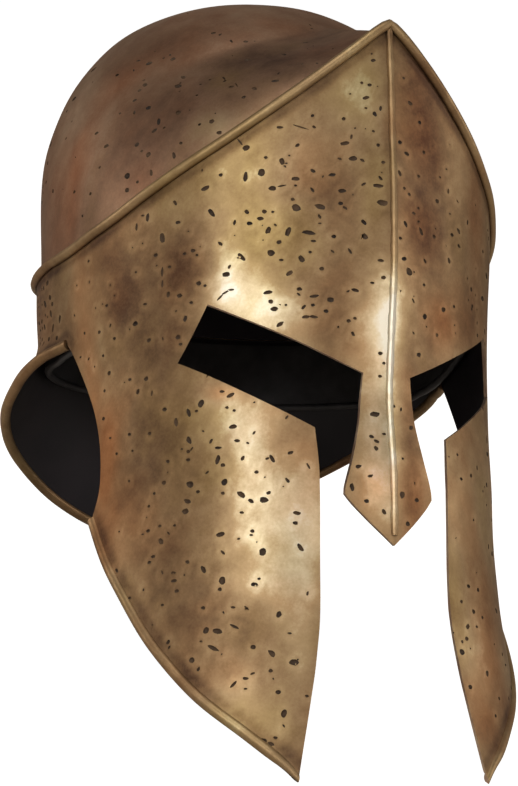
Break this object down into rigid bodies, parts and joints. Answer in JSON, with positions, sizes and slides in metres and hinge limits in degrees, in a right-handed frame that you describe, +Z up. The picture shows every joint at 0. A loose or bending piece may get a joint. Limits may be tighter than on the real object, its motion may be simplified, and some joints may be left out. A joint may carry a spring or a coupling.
{
  "type": "corinthian helmet",
  "caption": "Closed-face Corinthian style metal helmet with ridged brow, nasal, long cheek plates, flared neck guard and leather liner band",
  "frame": {"origin": "centre of the bounding box at ground level, where the helmet stands by itself on its cheek tips and neck rim", "axes": "+X across the width to the wearer's left, -Y to the front of the face, +Z up from the ground"},
  "size_m": [0.2018, 0.3222, 0.2712],
  "materials": {
    "aged_brass": "antiqued, pitted and unevenly polished",
    "aged_brass_dark": "antiqued, darker and pitted",
    "black_leather": "smooth black"
  },
  "bodies": {
    "root": {"face_and_neck_shell": "aged_brass", "crown_bowl": "aged_brass_dark", "liner_band": "black_leather"}
  },
  "joints": []
}
